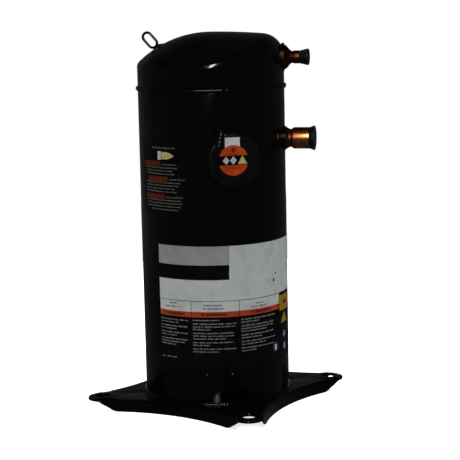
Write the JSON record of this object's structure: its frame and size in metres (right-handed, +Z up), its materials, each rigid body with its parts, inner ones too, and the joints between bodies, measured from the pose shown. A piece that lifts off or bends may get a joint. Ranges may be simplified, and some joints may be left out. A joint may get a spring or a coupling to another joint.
{
  "type": "scroll compressor",
  "caption": "Hermetic scroll compressor: upright welded shell with domed cap, four-armed foot, copper stubs, lifting ring and round terminal cover, with scroll set, shaft and motor inside.",
  "frame": {"origin": "bottom centre of the foot, on the shell's axis", "axes": "+Z up along the shaft; the foot's holes are square with X and Y; both stubs point 20 degrees from +X towards +Y"},
  "size_m": [0.2266, 0.2244, 0.4225],
  "materials": {
    "paint": "gloss black enamel",
    "steel": "plain steel",
    "iron": "machined cast iron",
    "copper": "drawn copper, slightly tarnished",
    "bronze": "bearing bronze",
    "alloy": "cast aluminium",
    "rubber": "black moulded rubber",
    "moulding": "black moulded plastic",
    "winding": "varnished copper wire",
    "glass": "sealing glass",
    "label_light": "light grey printed film",
    "label_dark": "black printed film",
    "label_orange": "orange printed film",
    "label_white": "white printed film"
  },
  "bodies": {
    "housing": {"shell": "paint", "top_cap": "paint", "bottom_cap": "paint", "base_plate": "paint", "lifting_ring": "paint", "suction_collar": "paint", "discharge_boss": "paint", "muffler_plate": "steel", "check_valve_seat": "steel", "terminal_fence": "steel", "terminal_body": "steel", "terminal_pin_1": "steel", "terminal_pin_2": "steel", "terminal_pin_3": "steel", "guide_bolt_1": "steel", "guide_bolt_2": "steel", "guide_bolt_3": "steel", "guide_bolt_4": "steel", "guide_sleeve_1": "steel", "guide_sleeve_2": "steel", "guide_sleeve_3": "steel", "guide_sleeve_4": "steel", "suction_baffle": "steel", "stator_core": "steel", "main_bearing_housing": "iron", "lower_bearing_bracket": "iron", "sump_magnet": "iron", "suction_stub": "copper", "discharge_stub": "copper", "main_bearing_bush": "bronze", "lower_bearing_bush": "bronze", "thrust_washer": "bronze", "lead_plug": "moulding", "motor_lead_1": "moulding", "motor_lead_2": "moulding", "motor_lead_3": "moulding", "upper_winding": "winding", "lower_winding": "winding", "terminal_glass_1": "glass", "terminal_glass_2": "glass", "terminal_glass_3": "glass"},
    "crank": {"crankshaft": "steel", "drive_bush": "bronze", "upper_counterweight": "iron", "lower_counterweight": "iron", "rotor_core": "steel", "rotor_end_ring_upper": "alloy", "rotor_end_ring_lower": "alloy", "oil_pickup": "steel"},
    "orbiting": {"orbiting_scroll": "iron"},
    "oldham": {"oldham_ring": "alloy"},
    "non_orbiting": {"non_orbiting_scroll": "iron", "discharge_valve_retainer": "steel"},
    "discharge_valve": {"discharge_valve_disc": "steel"},
    "seal": {"floating_seal": "steel"},
    "check_valve": {"check_valve_disc": "steel"},
    "suction_shipping_plug": {"suction_plug": "rubber"},
    "discharge_shipping_plug": {"discharge_plug": "rubber"},
    "cover": {"terminal_cover": "moulding"}
  },
  "joints": [
    {"name": "crank_spin", "type": "hinge", "parent": "housing", "child": "crank", "pos_m": [0, 0, 0.15], "axis": [0, 0, 1], "continuous": true},
    {"name": "orbit_turn", "type": "hinge", "parent": "crank", "child": "orbiting", "pos_m": [0.00283, 0.00283, 0.284], "axis": [0, 0, 1], "continuous": true},
    {"name": "oldham_slide", "type": "slide", "parent": "housing", "child": "oldham", "axis": [-0.7071, 0.7071, 0], "range_m": [-0.004, 0.004]},
    {"name": "non_orbiting_lift", "type": "slide", "parent": "housing", "child": "non_orbiting", "axis": [0, 0, 1], "range_m": [0, 0.001]},
    {"name": "discharge_valve_lift", "type": "slide", "parent": "non_orbiting", "child": "discharge_valve", "axis": [0, 0, 1], "range_m": [0, 0.0025]},
    {"name": "seal_lift", "type": "slide", "parent": "housing", "child": "seal", "axis": [0, 0, 1], "range_m": [0, 0.001]},
    {"name": "check_valve_open", "type": "slide", "parent": "housing", "child": "check_valve", "axis": [0.9397, 0.342, 0], "range_m": [0, 0.003]},
    {"name": "suction_plug_pull", "type": "slide", "parent": "housing", "child": "suction_shipping_plug", "axis": [0.9397, 0.342, 0], "range_m": [0, 0.03]},
    {"name": "discharge_plug_pull", "type": "slide", "parent": "housing", "child": "discharge_shipping_plug", "axis": [0.9397, 0.342, 0], "range_m": [0, 0.03]},
    {"name": "terminal_cover_pull", "type": "slide", "parent": "housing", "child": "cover", "axis": [0.7071, -0.7071, 0], "range_m": [0, 0.045]}
  ],
  "couplings": [
    {"joint": "orbit_turn", "follows": "crank_spin", "ratio": -1}
  ]
}
